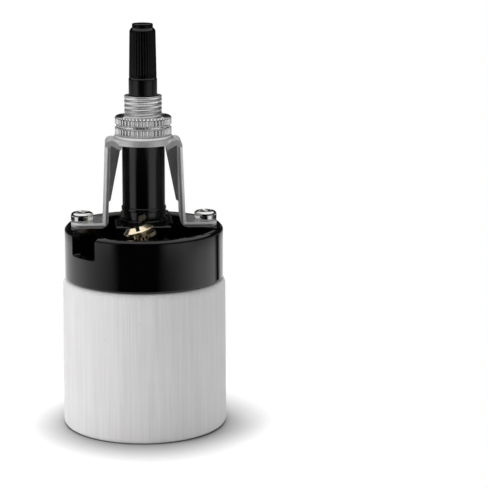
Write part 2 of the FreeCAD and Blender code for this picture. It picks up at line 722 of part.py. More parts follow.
def make_threaded_nipple():
    """Aluminium nipple: shank in the neck, collar under the bracket, body and bored mouth."""
    low = NECK_TOP_Z - NIPPLE_SHANK_L
    seat = KNOB_FOOT_Z - 0.8
    return turned([
        (SPINDLE_R + 0.4, low, 0),
        (NIPPLE_SHANK_R, low, 0),
        (NIPPLE_SHANK_R, NECK_TOP_Z, 0),
        (NIPPLE_COLLAR_R, NECK_TOP_Z, 0),
        (NIPPLE_COLLAR_R, DISC_UNDER_Z, 0),
        (NIPPLE_R, DISC_UNDER_Z, 0),
        (NIPPLE_R, NIPPLE_TOP_Z - NIPPLE_CHAMFER, 0),
        (NIPPLE_R - NIPPLE_CHAMFER, NIPPLE_TOP_Z, 0),
        (NIPPLE_MOUTH_R, NIPPLE_TOP_Z, 0),
        (NIPPLE_BORE_R, NIPPLE_TOP_Z - 1.2, 0),
        (NIPPLE_BORE_R, seat, 0),
        (SPINDLE_R + 0.4, seat, 0),
    ])


def make_ring_nut():
    """Double-knurled ring nut: one straight knurl, parted by a turned groove, dished on top."""
    low = BRACKET_TOP_Z
    top = low + NUT_H
    knurl = Part.Face(star(NUT_TEETH, NUT_R, NUT_TOOTH_DEPTH, low)).extrude(UP * NUT_H)
    groove_low = low + NUT_CHAMFER + NUT_BAND_H
    groove_high = top - NUT_CHAMFER - NUT_BAND_H
    hole = NIPPLE_R + NUT_CLEAR
    envelope = turned([
        (hole, low, 0),
        (NUT_R - NUT_CHAMFER, low, 0),
        (NUT_R + 0.1, low + NUT_CHAMFER + 0.1, 0),
        (NUT_R + 0.1, groove_low, 0),
        (NUT_GROOVE_R, groove_low, 0),
        (NUT_GROOVE_R, groove_high, 0),
        (NUT_R + 0.1, groove_high, 0),
        (NUT_R + 0.1, top - NUT_CHAMFER - 0.1, 0),
        (NUT_R - NUT_CHAMFER, top, 0),
        (NUT_DISH_R, top, 0),
        (NUT_DISH_R - 0.3, top - NUT_DISH_DEPTH, 0),
        (hole, top - NUT_DISH_DEPTH, 0),
    ])
    return knurl.common(envelope)


def arm_profile():
    """Outer face of the right arm, from its root inside the skirt down to the foot's end."""
    corner_z = BRACKET_TOP_Z + ARM_CORNER
    root_x = DISC_R - SHEET - 1
    return [
        (root_x, corner_z - (ARM_X_TOP - root_x) * math.tan(math.radians(ARM_RISE)), 0),
        (ARM_X_TOP, corner_z, ARM_BEND),
        (ARM_X_FOOT, FOOT_TOP_Z, FOOT_BEND),
        (FOOT_END_X, FOOT_TOP_Z, 0),
    ]


def arm_gusset():
    """Flange along the right arm's rear edge: broad under the root, tapered down the arm."""
    foot, corner = ribbon(arm_profile()[:3], SHEET / 2)[3:5]
    slope = (foot[0] - corner[0]) / (corner[1] - foot[1])
    inner_x = ARM_X_TOP - SHEET
    tip_z = BRACKET_TOP_Z - SKIRT_H - GUSSET_L
    tip_x = inner_x + slope * (corner[1] - tip_z)
    rise = math.tan(math.radians(ARM_RISE))
    edge_x = inner_x - GUSSET_W
    edge_z = corner[1] - (corner[0] - edge_x) * rise
    return side([
        (edge_x, edge_z, 0),
        (corner[0], corner[1], ARM_BEND + SHEET / 2),
        (tip_x + SHEET / 2, tip_z, 0),
        (tip_x - GUSSET_TIP, tip_z + GUSSET_TIP, 0.3),
        (edge_x, edge_z - SHEET, 0.3),
    ], ARM_W / 2 - SHEET, SHEET)


def make_bracket():
    """Pressed yoke: round dished middle with a skirt, two arms with rear gussets and two feet."""
    half = ARM_W / 2
    plan = plate([
        (-FOOT_END_X, -half, FOOT_CORNER),
        (FOOT_END_X, -half, FOOT_CORNER),
        (FOOT_END_X, half, FOOT_CORNER),
        (-FOOT_END_X, half, FOOT_CORNER),
    ], PAD_Z - 1, BRACKET_TOP_Z - PAD_Z + 2)
    arm = side(ribbon(arm_profile(), SHEET), -half, ARM_W).common(plan).fuse(arm_gusset())
    arm = arm.cut(drum(DISC_R - SHEET, PAD_Z, BRACKET_TOP_Z))
    dish = turned([
        (0, BRACKET_TOP_Z, 0),
        (DISC_R, BRACKET_TOP_Z, DISC_ROUND),
        (DISC_R, BRACKET_TOP_Z - SKIRT_H, 0),
        (DISC_R - SHEET, BRACKET_TOP_Z - SKIRT_H, 0),
        (DISC_R - SHEET, DISC_UNDER_Z, 0.2),
        (0, DISC_UNDER_Z, 0),
    ])
    bracket = union(dish, arm, arm.mirror(V(0, 0, 0), V(1, 0, 0)))
    bracket = bracket.cut(drum(NIPPLE_R + BRACKET_HOLE_CLEAR, DISC_UNDER_Z - 1, BRACKET_TOP_Z + 1))
    for x in (-FOOT_SCREW_X, FOOT_SCREW_X):
        bracket = bracket.cut(drum(PAN_SHANK_R + 0.15, PAD_Z - 1, FOOT_TOP_Z + 1, x, 0))
    return bracket


def make_bracket_screw(x):
    """Pan-head screw with a cross recess, driven into the boss."""
    screw = turned([
        (0, FOOT_TOP_Z - PAN_SHANK_L, 0),
        (PAN_SHANK_R * 0.6, FOOT_TOP_Z - PAN_SHANK_L, 0),
        (PAN_SHANK_R, FOOT_TOP_Z - PAN_SHANK_L + 1, 0),
        (PAN_SHANK_R, FOOT_TOP_Z, 0),
        (PAN_R, FOOT_TOP_Z, 0.15),
        (PAN_R, FOOT_TOP_Z + PAN_H, PAN_ROUND),
        (0, FOOT_TOP_Z + PAN_H, 0),
    ])
    top = FOOT_TOP_Z + PAN_H
    long_half, thin_half = PAN_RECESS_L / 2, PAN_RECESS_W / 2
    cross = block(-long_half, long_half, -thin_half, thin_half, top - PAN_RECESS_DEPTH, top + 1)
    screw = screw.cut([spun(cross, 25), spun(cross, 115)])
    screw.translate(V(x, 0, 0))
    return screw


def make_knob():
    """Fluted knob: smooth foot, ring bevel, tapered flutes, rounded shoulder and a collar."""
    foot = turned([
        (0, KNOB_FOOT_Z, 0),
        (KNOB_PLAIN_R, KNOB_FOOT_Z, 0.3),
        (KNOB_PLAIN_R, KNOB_PLAIN_TOP_Z, 0),
        (KNOB_R_LOW - KNOB_FLUTE_DEPTH, KNOB_PLAIN_TOP_Z + KNOB_BEVEL, 0),
        (0, KNOB_PLAIN_TOP_Z + KNOB_BEVEL, 0),
    ])
    shoulder_z = KNOB_TOP_Z - KNOB_COLLAR_H
    low = star(KNOB_FLUTES, KNOB_R_LOW, KNOB_FLUTE_DEPTH, KNOB_PLAIN_TOP_Z)
    high = star(KNOB_FLUTES, KNOB_R_TOP, KNOB_FLUTE_DEPTH, shoulder_z)
    grip = Part.makeLoft([low, high], True, True)
    envelope = turned([
        (0, KNOB_PLAIN_TOP_Z, 0),
        (KNOB_R_LOW + 0.5, KNOB_PLAIN_TOP_Z, 0),
        (KNOB_R_LOW + 0.5, shoulder_z - KNOB_SHOULDER - 0.5, 0),
        (KNOB_R_TOP, shoulder_z - KNOB_SHOULDER, 0.2),
        (KNOB_COLLAR_R + 0.1, shoulder_z, 0),
        (0, shoulder_z, 0),
    ])
    collar = turned([
        (0, shoulder_z - 0.5, 0),
        (KNOB_COLLAR_R, shoulder_z - 0.5, 0),
        (KNOB_COLLAR_R, KNOB_TOP_Z, 0.3),
        (0, KNOB_TOP_Z, 0),
    ])
    knob = union(grip.common(envelope), foot, collar)
    return knob.cut(drum(SPINDLE_TIP_R, KNOB_FOOT_Z - 1, KNOB_FOOT_Z + KNOB_SOCKET_L))


def make_spindle():
    """Steel spindle from the blade up into the knob, with a shoulder under the knob."""
    low = BLADE_TOP_Z - BLADE_T
    return turned([
        (0, low - 0.2, 0),
        (1.2, low - 0.2, 0),
        (1.2, BLADE_TOP_Z, 0),
        (SPINDLE_R, BLADE_TOP_Z, 0),
        (SPINDLE_R, KNOB_FOOT_Z, 0),
        (SPINDLE_TIP_R, KNOB_FOOT_Z, 0),
        (SPINDLE_TIP_R, KNOB_FOOT_Z + KNOB_SOCKET_L - 0.5, 0.3),
        (0, KNOB_FOOT_Z + KNOB_SOCKET_L - 0.5, 0),
    ])


def make_rotor():
    """Insulating rotor with a four-cornered index block, pressed on the spindle."""
    disc = drum(ROTOR_R, BLADE_TOP_Z, ROTOR_TOP_Z)
    flats = INDEX_FLATS / 2
    index = block(-flats, flats, -flats, flats, ROTOR_TOP_Z, INDEX_TOP_Z)
    index = index.common(drum(INDEX_CORNER_R, ROTOR_TOP_Z, INDEX_TOP_Z))
    rotor = union(disc, index)
    return rotor.cut(drum(SPINDLE_R, BLADE_TOP_Z - 1, INDEX_TOP_Z + 1))


def make_bridge_blade():
    """Copper blade under the rotor that joins the two fixed contacts."""
    half = BLADE_L / 2
    blade = plate([
        (-half, -BLADE_W / 2, 1.2),
        (half, -BLADE_W / 2, 1.2),
        (half, BLADE_W / 2, 1.2),
        (-half, BLADE_W / 2, 1.2),
    ], BLADE_TOP_Z - BLADE_T, BLADE_T)
    return spun(blade.cut(drum(1.2, BLADE_TOP_Z - 5, BLADE_TOP_Z + 5)), BAR_ANGLE)


def make_index_spring():
    """Flat spring across the chamber that bears on a flat of the index block."""
    y0 = INDEX_CORNER_R + 0.3
    reach = math.sqrt(CHAMBER_R ** 2 - (y0 + SPRING_T) ** 2)
    spring = block(-reach, reach, y0, y0 + SPRING_T, ROTOR_TOP_Z + 0.3, INDEX_TOP_Z - 0.1)
    return spring


def strike_path():
    """Start of both fixed contacts: flat under the blade's tip, then down to the recess."""
    tip = BLADE_L / 2
    return [
        (tip - STRIKE_L, STRIKE_Z, 0),
        (tip, STRIKE_Z, STRIP_BEND),
        (tip + STRIKE_RAMP, WELL_Z + STRIP_T, STRIP_BEND),
    ]


def make_load_contact():
    """Strip from the contact rivet up to the blade's tip."""
    path = strike_path() + [(CONTACT_RIVET_AT + RIVET_ROLL_R, WELL_Z + STRIP_T, 0)]
    strip = side(ribbon(path, STRIP_T), -STRIP_W / 2, STRIP_W)
    hole = drum(RIVET_R, WELL_Z - 1, WELL_Z + STRIP_T + 1, CONTACT_RIVET_AT, 0)
    return spun(strip.cut(hole), BAR_ANGLE)


def make_line_contact():
    """Strip from the blade's other tip, across the recess and up beside the hot terminal."""
    riser = math.hypot(*line_strip_place())
    path = strike_path() + [(riser, WELL_Z + STRIP_T, STRIP_BEND), (riser, LINE_TOP_Z, 0)]
    strip = side(ribbon(path, STRIP_T), -STRIP_W / 2, STRIP_W)
    return spun(strip, BAR_ANGLE + 180)


def make_neutral_strap():
    """Strip on the cup's floor from the left shell rivet to the high side of the neutral plate."""
    x, y = shell_rivet_places()[1]
    half = STRAP_W / 2
    near, far = TERMINAL_Y - half, TERMINAL_Y + half
    seat_x = TERMINAL_X - PLATE_HALF
    joint_x = -RIB_X - RIB_T
    run = plate([
        (x - half, y, 0),
        (x + half, y, 0),
        (x + half, near, 0),
        (joint_x, near, 0),
        (joint_x, far, 0),
        (x - half, far, 2.5),
    ], CUP_FLOOR_Z, STRIP_T)
    run = run.common(drum(CUP_INNER_R - CUP_INSIDE_ROUND - STRAP_WALL_GAP, CUP_FLOOR_Z,
                          CUP_FLOOR_Z + STRIP_T))
    path = [(seat_x, STRAP_TOP_Z, 0), (seat_x, CUP_FLOOR_Z, 0.2), (joint_x, CUP_FLOOR_Z, 0)]
    riser = side(ribbon(path, STRIP_T), near, STRAP_W)
    eye = drum(STRAP_EYE_R, CUP_FLOOR_Z, CUP_FLOOR_Z + STRIP_T, x, y)
    return union(run, riser, eye).cut(drum(RIVET_R, CUP_FLOOR_Z - 1, CUP_FLOOR_Z + 2, x, y))


def make_terminal_plate(sign):
    """Square tapped plate on the ramp."""
    square = plate([
        (-PLATE_HALF, -PLATE_HALF, 0.4),
        (PLATE_HALF, -PLATE_HALF, 0.4),
        (PLATE_HALF, PLATE_HALF, 0.4),
        (-PLATE_HALF, PLATE_HALF, 0.4),
    ], -PLATE_T, PLATE_T)
    return tilted(square.cut(drum(BIND_SHANK_R + SCREW_PLAY, -5, 5)), sign)


def make_terminal_washer(sign):
    """Serrated washer held captive under the screw's head."""
    low = WIRE_GAP
    face = Part.Face(star(WASHER_TEETH, WASHER_R, WASHER_TOOTH, low))
    washer = face.extrude(UP * WASHER_T)
    return tilted(washer.cut(drum(BIND_SHANK_R + 0.15, low - 1, low + 3)), sign)


def make_terminal_screw(sign):
    """Binding-head screw with a slot, backed out as it leaves the works."""
    seat = WIRE_GAP + WASHER_T + HEAD_GAP
    screw = turned([
        (0, seat - BIND_SHANK_L, 0),
        (BIND_SHANK_R - 0.3, seat - BIND_SHANK_L, 0),
        (BIND_SHANK_R, seat - BIND_SHANK_L + 0.3, 0),
        (BIND_SHANK_R, seat, 0),
        (BIND_R, seat, 0),
        (BIND_R, seat + BIND_RIM, 0.2),
        (BIND_CROWN_R, seat + BIND_H, 0.8),
        (0, seat + BIND_H, 0),
    ])
    top = seat + BIND_H
    half = BIND_SLOT_W / 2
    slot = block(-half, half, -5, 5, top - BIND_SLOT_DEPTH, top + 1)
    return tilted(screw.cut(slot), sign)


PIECES = {
    "porcelain_body": make_porcelain_body,
    "screw_shell": make_screw_shell,
    "shell_rivet_right": lambda: make_shell_rivet(0),
    "shell_rivet_left": lambda: make_shell_rivet(1),
    "contact_rivet": make_contact_rivet,
    "centre_contact": make_centre_contact,
    "switch_housing": make_switch_housing,
    "switch_neck": make_switch_neck,
    "neck_clip": make_neck_clip,
    "threaded_nipple": make_threaded_nipple,
    "ring_nut": make_ring_nut,
    "mounting_bracket": make_bracket,
    "bracket_screw_left": lambda: make_bracket_screw(-FOOT_SCREW_X),
    "bracket_screw_right": lambda: make_bracket_screw(FOOT_SCREW_X),
    "knob": make_knob,
    "spindle": make_spindle,
    "rotor": make_rotor,
    "bridge_blade": make_bridge_blade,
    "index_spring": make_index_spring,
    "load_contact": make_load_contact,
    "line_contact": make_line_contact,
    "neutral_strap": make_neutral_strap,
    "hot_plate": lambda: make_terminal_plate(-1),
    "hot_washer": lambda: make_terminal_washer(-1),
    "hot_screw": lambda: make_terminal_screw(-1),
    "neutral_plate": lambda: make_terminal_plate(1),
    "neutral_washer": lambda: make_terminal_washer(1),
    "neutral_screw": lambda: make_terminal_screw(1),
}


def main():
    """Build every piece and write one file for each."""
    os.makedirs("parts", exist_ok=True)
    for name, make in PIECES.items():
        shape = make()
        solids = shape.Solids
        kept = solids[0] if len(solids) == 1 else Part.makeCompound(solids)
        kept.exportStep("parts/" + name + ".step")
        print(name, len(solids), "solid", round(shape.Volume, 2), "mm3", shape.isValid())


main()
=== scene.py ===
# %% [markdown]
# # A turn-knob lamp socket, dressed as a lesson
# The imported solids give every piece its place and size. This file gives each surface its
# finish, and builds again the five pieces whose look depends on fine turned or punched work: the
# fluted knob, the threaded nipple, the knurled ring nut and the two pan-head screws. The lengths
# of pieces are written in millimetres, because that is how a maker reads them, and turned into
# metres at the last moment. The studio round them is written in metres.

import math

import bpy
import numpy as np
from mathutils import Matrix, Vector


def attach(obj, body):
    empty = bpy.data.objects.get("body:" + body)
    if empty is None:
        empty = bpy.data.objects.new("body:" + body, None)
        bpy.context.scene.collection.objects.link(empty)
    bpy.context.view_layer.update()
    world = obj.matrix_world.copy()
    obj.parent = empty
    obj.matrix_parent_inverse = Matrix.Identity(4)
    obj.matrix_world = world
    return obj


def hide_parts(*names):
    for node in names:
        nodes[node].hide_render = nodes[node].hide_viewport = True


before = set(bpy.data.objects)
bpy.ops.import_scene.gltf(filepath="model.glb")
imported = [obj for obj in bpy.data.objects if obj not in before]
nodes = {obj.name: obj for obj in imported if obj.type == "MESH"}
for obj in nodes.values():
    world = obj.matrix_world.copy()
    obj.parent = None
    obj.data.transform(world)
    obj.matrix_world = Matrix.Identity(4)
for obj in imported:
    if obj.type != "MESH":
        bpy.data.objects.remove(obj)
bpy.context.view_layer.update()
MM = 0.001


def extent(name):
    """Radius, lowest and highest level of a solid that stands on the axis, in millimetres."""
    points = np.array([nodes[name].matrix_world @ v.co for v in nodes[name].data.vertices]) / MM
    return np.hypot(points[:, 0], points[:, 1]).max(), points[:, 2].min(), points[:, 2].max()


# %% [markdown]
# ## Sums between sockets
# A shader is a formula, so it reads best as one. A small class holds a socket and its tree, and
# each operator adds the Math node that works it out. Numbers alone stay in Python. The other way
# is to add and link every Math node by hand, which hides the formula.


# %% The socket class
def plug(tree, socket, value):
    """Link a wire to a socket, or write a plain value on it."""
    if isinstance(value, Wire):
        tree.links.new(value.socket, socket)
    else:
        socket.default_value = value


class Wire:
    """A node's output that can stand in a sum. Each operator adds one Math node."""

    def __init__(self, tree, socket):
        self.tree = tree
        self.socket = socket

    def maths(self, operation, left, right):
        node = self.tree.nodes.new("ShaderNodeMath")
        node.operation = operation
        plug(self.tree, node.inputs[0], left)
        plug(self.tree, node.inputs[1], right)
        return Wire(self.tree, node.outputs[0])

    def __add__(self, other):
        return self.maths("ADD", self, other)

    def __radd__(self, other):
        return self.maths("ADD", other, self)

    def __sub__(self, other):
        return self.maths("SUBTRACT", self, other)

    def __rsub__(self, other):
        return self.maths("SUBTRACT", other, self)

    def __mul__(self, other):
        return self.maths("MULTIPLY", self, other)

    def __truediv__(self, other):
        return self.maths("DIVIDE", self, other)

    def __pow__(self, other):
        return self.maths("POWER", self, other)


print("sums ready")

# %% [markdown]
# ## A tree with one way to add a node
# Materials, the floor and the world all need the same few lines: make the node, choose its
# settings, fill its sockets, hand back one output. One method does that for any node type, so
# each finish below is a short list of what is particular to it.


# %% The tree class
class Tree:
    """A node tree, with one method that adds any node."""

    def __init__(self, nodes_and_links):
        self.tree = nodes_and_links
        self.tree.nodes.clear()

    def node(self, kind, settings=None, sockets=None, out=0):
        """Add a node of a type; settings are its properties, sockets its values or wires."""
        made = self.tree.nodes.new("ShaderNode" + kind)
        for name, value in (settings or {}).items():
            setattr(made, name, value)
        for name, value in (sockets or {}).items():
            plug(self.tree, made.inputs[name], value)
        return Wire(self.tree, made.outputs[out])

    def ramp(self, factor, stops):
        """Grey ramp through stops (place, value)."""
        made = self.tree.nodes.new("ShaderNodeValToRGB")
        line = made.color_ramp
        while len(line.elements) < len(stops):
            line.elements.new(0.5)
        for element, (place, value) in zip(line.elements, stops):
            element.position = place
            element.color = (value, value, value, 1)
        plug(self.tree, made.inputs[0], factor)
        return Wire(self.tree, made.outputs[0])

    def between(self, factor, low, high):
        """Colour that goes from low to high."""
        made = self.tree.nodes.new("ShaderNodeMix")
        made.data_type = "RGBA"
        plug(self.tree, made.inputs["Factor"], factor)
        plug(self.tree, made.inputs[6], low)
        plug(self.tree, made.inputs[7], high)
        return Wire(self.tree, made.outputs[2])

    def maths(self, operation, left, right=0.0):
        """One Math node."""
        return self.node("Math", {"operation": operation}, {0: left, 1: right})

    def parts(self, vector):
        """The three numbers of a vector."""
        split = self.tree.nodes.new("ShaderNodeSeparateXYZ")
        plug(self.tree, split.inputs[0], vector)
        return [Wire(self.tree, out) for out in split.outputs]

    def place(self):
        """Object coordinates, in metres."""
        return self.node("TexCoord", out="Object")

    def stretched(self, x, y, z):
        """Object coordinates, each multiplied by its own number."""
        return self.node("Mapping", {}, {"Vector": self.place(), "Scale": (x, y, z)})

    def noise(self, where, scale, detail=3.0, rough=0.5):
        """Cloudy pattern from 0 to 1."""
        return self.node("TexNoise", {"noise_dimensions": "3D"},
                         {"Vector": where, "Scale": scale, "Detail": detail, "Roughness": rough})

    def bump(self, height, depth_mm, strength=1.0):
        """Normal that a height pattern tilts; depth_mm is how deep the pattern is."""
        return self.node("Bump", {}, {"Height": height, "Distance": depth_mm * MM,
                                      "Strength": strength})

    def mixed(self, share, first, second):
        """Shader that goes from the first to the second."""
        return self.node("MixShader", {}, {0: share, 1: first, 2: second})

    def end(self, shader, kind="OutputMaterial"):
        """Link a shader to the tree's output."""
        made = self.tree.nodes.new("ShaderNode" + kind)
        self.tree.links.new(shader.socket, made.inputs[0])


def blank(name):
    """A new material with an empty tree."""
    material = bpy.data.materials.new(name)
    material.use_nodes = True
    return Tree(material.node_tree)


def finish_of(t, name, colour, rough, metal=0.0, normal=None, **sockets):
    """End a tree with a Principled shader, whose further sockets are given by name."""
    shader = t.tree.nodes.new("ShaderNodeBsdfPrincipled")
    plug(t.tree, shader.inputs["Base Color"], colour)
    plug(t.tree, shader.inputs["Roughness"], rough)
    plug(t.tree, shader.inputs["Metallic"], metal)
    if normal is not None:
        plug(t.tree, shader.inputs["Normal"], normal)
    for socket, value in sockets.items():
        plug(t.tree, shader.inputs[socket.replace("_", " ")], value)
    t.end(Wire(t.tree, shader.outputs[0]))
    return bpy.data.materials[name]


print("trees ready")

# %% [markdown]
# ## Unglazed porcelain
# The body is turned while damp and fired without a glaze. It is matt and nearly white, with fine
# upright drag lines where the tool left the wall, a slight cloud from the kiln and a few darker
# specks. Noise squeezed in X and Y and stretched in Z gives the lines, and the same pattern
# feeds the bump, so that light finds them too. Lines cut into the mesh would need far more faces
# and look no better from where the camera stands.


# %% Porcelain
def porcelain(name):
    t = blank(name)
    lines = t.noise(t.stretched(1, 1, 0.012), 3400, 2.0)
    broad = t.noise(t.stretched(1, 1, 0.04), 620, 2.0)
    cloud = t.noise(t.place(), 160, 3.0)
    grain = t.noise(t.place(), 9000, 2.0)
    specks = t.ramp(t.noise(t.place(), 1500, 1.0), [(0.0, 0.0), (0.74, 0.0), (0.79, 1.0)])
    shade = lines * 0.45 + broad * 0.25 + cloud * 0.15 + grain * 0.15
    tone = t.between(t.ramp(shade, [(0.36, 0.0), (0.64, 1.0)]),
                     (0.655, 0.645, 0.645, 1), (0.765, 0.755, 0.755, 1))
    colour = t.between(specks * 0.3, tone, (0.45, 0.43, 0.42, 1))
    height = lines * 0.7 + grain * 0.3
    return finish_of(t, name, colour, 0.66 + grain * 0.2, 0.0,
                     t.bump(height, 0.03, 0.45), Specular_IOR_Level=0.3)


PORCELAIN = porcelain("unglazed porcelain")
print("porcelain ready")

# %% [markdown]
# ## Moulded phenolic
# The cup and the neck come out of a polished steel mould: deep black, hard and glossy, with a
# very slight unevenness that bends long reflections. The knob is the same resin with more
# handling, so it is a shade duller. A plain black would look like a hole, so a little dust in the
# roughness breaks the mirror.


# %% Black phenolic
def phenolic(name, rough, wave_mm):
    t = blank(name)
    wave = t.noise(t.place(), 260, 2.0)
    dust = t.noise(t.place(), 2600, 3.0)
    rub = t.noise(t.place(), 420, 4.0, 0.6)
    colour = t.between(rub, (0.0004, 0.0004, 0.0005, 1), (0.0016, 0.0016, 0.0018, 1))
    roughness = rough + t.ramp(dust, [(0.4, 0.0), (0.75, 1.0)]) * 0.05 + rub * 0.03
    return finish_of(t, name, colour, roughness, 0.0,
                     t.bump(wave * 0.8 + dust * 0.06, wave_mm, 0.5), Specular_IOR_Level=0.55)


CUP_BLACK = phenolic("black phenolic", 0.07, 0.012)
KNOB_BLACK = phenolic("black phenolic knob", 0.13, 0.008)
print("phenolic ready")

# %% [markdown]
# ## Metals
# Turned and rolled work has rings round the axis: noise that changes fast along Z and slowly
# round it. Headed screws are bright with small dents, and brass eyelets and springs are dull.
# Each finish is one call of the same function, with its own colour, roughness and grain. A thin
# oxide makes aluminium a little chalky, so the rolled nipple is only four fifths bare metal.


# %% Metal finishes
def metal(name, colour, rough, grain=(1, 1, 1), scale=2600, depth_mm=0.006, spread=0.12,
          darker=0.75, bare=1.0):
    """Metal whose fine noise is stretched by grain, depth_mm deep.

    Its roughness varies by spread, its patches go down to darker times the colour, and bare is
    the share of metal that no oxide covers.
    """
    t = blank(name)
    fine = t.noise(t.stretched(*grain), scale, 3.0)
    patch = t.noise(t.place(), 330, 3.0)
    low = tuple(c * darker for c in colour) + (1,)
    tone = t.between(t.ramp(fine * 0.45 + patch * 0.55, [(0.33, 0.0), (0.62, 1.0)]),
                     low, colour + (1,))
    roughness = rough - spread / 2 + fine * spread + patch * spread * 0.5
    return finish_of(t, name, tone, roughness, bare, t.bump(fine, depth_mm, 0.6))


TURNED_ALUMINIUM = metal("turned aluminium", (0.86, 0.86, 0.865), 0.13, grain=(0.15, 0.15, 1),
                         scale=6000, depth_mm=0.003, spread=0.06, darker=0.9)
ROLLED_ALUMINIUM = metal("rolled aluminium", (0.80, 0.80, 0.805), 0.27, grain=(0.1, 0.1, 1),
                         scale=5000, depth_mm=0.002, spread=0.05, darker=0.94, bare=0.8)
NICKEL = metal("bright nickel", (0.84, 0.83, 0.82), 0.06, scale=1400, depth_mm=0.004, spread=0.05,
               darker=0.92)
BRASS = metal("bright brass", (0.98, 0.84, 0.60), 0.13, scale=1800, spread=0.06, darker=0.9)
OLD_BRASS = metal("dull brass", (0.36, 0.26, 0.13), 0.38, scale=1500, spread=0.2, darker=0.55)
COPPER = metal("rolled copper", (0.78, 0.42, 0.27), 0.3, grain=(1, 0.1, 1), scale=4000,
               darker=0.75)
SHELL_METAL = metal("rolled shell metal", (0.74, 0.74, 0.735), 0.28, grain=(0.1, 0.1, 1),
                    scale=3500, darker=0.8)
SPRING_STEEL = metal("spring steel", (0.42, 0.42, 0.43), 0.33, scale=2400, darker=0.7)
print("metals ready")

# %% [markdown]
# ## Cut sheet steel
# A sheet that a press has cut shows two bands on its edge: the punch burnishes the first half of
# the thickness, and the rest tears and stays rough. The torn band is painted dark, partly for the
# tear's dullness and partly as painted shade along the edge, and the burnished band is made less
# metallic so that it shows lit, a painted highlight where a round edge would catch light. The depth
# below the outer face is worked out in millimetres, and the two bands follow from it where the
# surface looks forwards or back, which needs no picture laid round the sheet. The feet's flat tops
# are made barer and smoother, so they mirror more, and their colour is darkened in clouds, which is
# painted shade. Round the bends at the top of the yoke the depth has no meaning, and there the
# finish stays plain.

# %% Bracket steel
SHEET_T = 1.2
BEND_H = 2.4
ARM_TOP_X, ARM_FOOT_X = 8.75, 9.55
DEPTH_SPAN = 2.0
_, STEEL_LOW, STEEL_TOP = extent("mounting_bracket")
FOOT_TOP = STEEL_LOW + SHEET_T


def bracket_steel(name):
    """Zinc on steel. The depth is a share of DEPTH_SPAN, which is where its ramps end."""
    t = blank(name)
    x, _, z = (part / MM for part in t.parts(t.place()))
    fine = t.noise(t.place(), 5200, 3.0)
    patch = t.noise(t.place(), 330, 3.0)
    tone = t.between(t.ramp(fine * 0.5 + patch * 0.5, [(0.33, 0.0), (0.62, 1.0)]),
                     (0.70, 0.70, 0.705, 1), (0.84, 0.84, 0.845, 1))
    slope = (ARM_FOOT_X - ARM_TOP_X) / (STEEL_TOP - FOOT_TOP)
    outer = ARM_TOP_X + (STEEL_TOP - z) * slope
    depth = t.maths("MAXIMUM", outer - t.maths("ABSOLUTE", x), FOOT_TOP - z) / DEPTH_SPAN
    _, along, upward = t.parts(t.node("TexCoord", out="Normal"))
    straight = t.maths("LESS_THAN", z, STEEL_TOP - BEND_H)
    faced = [(0.6, 0.0), (0.9, 1.0)]
    bare_top_and_shade = t.ramp(upward, faced) * straight
    cut = t.ramp(t.maths("ABSOLUTE", along), faced) * straight
    # Painted light on the cut edge: the torn band is painted dark, partly for the tear's dullness
    # and partly as painted shade, and the burnished band is made less metallic so that it shows
    # lit, a painted highlight.
    torn_and_shade = t.ramp(depth, [(0.26, 0.0), (0.32, 1.0), (0.52, 1.0), (0.58, 0.0)]) * cut
    burnished_highlight = t.ramp(depth, [(0.24, 1.0), (0.30, 0.0)]) * cut
    tone = t.between(torn_and_shade * 0.7, tone, (0.12, 0.12, 0.125, 1))
    # Painted shade: the upward-facing flat tops are darkened in clouds of colour, besides being
    # made barer and smoother.
    tone = t.between(bare_top_and_shade * patch * 0.4, tone, (0.30, 0.30, 0.305, 1))
    return finish_of(t, name, tone, 0.34 + fine * 0.12 + torn_and_shade * 0.2 - bare_top_and_shade * 0.08,
                     0.7 - burnished_highlight * 0.6 + bare_top_and_shade * 0.28, t.bump(fine, 0.014, 0.6))


STEEL_PAINTED_LIGHT_AND_SHADE = bracket_steel("tumbled zinc on steel")
print("steel ready, the bracket's top is at", round(STEEL_TOP, 2), "mm")

# %% [markdown]
# ## Fibre board
# The rotor inside is cut from laminated board, whose layers show as bands across its edge. It is
# hidden in the assembled socket, and gets a true finish for whoever opens it.


# %% Rotor board
def fibre(name):
    t = blank(name)
    layers = t.noise(t.stretched(1, 1, 6), 700, 3.0)
    colour = t.between(layers, (0.075, 0.04, 0.022, 1), (0.16, 0.09, 0.05, 1))
    return finish_of(t, name, colour, 0.6, 0.0, t.bump(layers, 0.02, 0.4))


FIBRE = fibre("laminated fibre")
print("fibre ready")

# %% [markdown]
# ## Each solid gets its finish
# A solid keeps its mesh and its place. Only the material in its slots changes, and the list
# below reads like the parts list in a workshop.

# %% Finish of each solid
FINISHES = {
    PORCELAIN: ["porcelain_body"],
    CUP_BLACK: ["switch_housing", "switch_neck"],
    KNOB_BLACK: ["knob"],
    STEEL_PAINTED_LIGHT_AND_SHADE: ["mounting_bracket"],
    TURNED_ALUMINIUM: ["ring_nut"],
    ROLLED_ALUMINIUM: ["threaded_nipple"],
    NICKEL: ["bracket_screw_left", "bracket_screw_right", "neutral_screw", "neutral_washer",
             "neutral_plate", "neutral_strap"],
    BRASS: ["hot_screw", "hot_washer", "hot_plate", "line_contact"],
    OLD_BRASS: ["shell_rivet_right", "shell_rivet_left", "contact_rivet"],
    COPPER: ["centre_contact", "bridge_blade", "load_contact"],
    SHELL_METAL: ["screw_shell"],
    SPRING_STEEL: ["spindle", "index_spring", "neck_clip"],
    FIBRE: ["rotor"],
}
for material, names in FINISHES.items():
    for name in names:
        for slot in nodes[name].material_slots:
            slot.material = material
print("finished solids:", sum(len(names) for names in FINISHES.values()), "of", len(nodes))

# %% [markdown]
# ## Profiles
# A lathe piece is a profile carried round an axis, so its surface is one function of two
# numbers: the angle and the distance along the profile. The profile is written as a few corners
# with roundings, and is then cut into short steps, so that a relief has points to move.

# %% Profile helper
ROUND_POINTS = 7


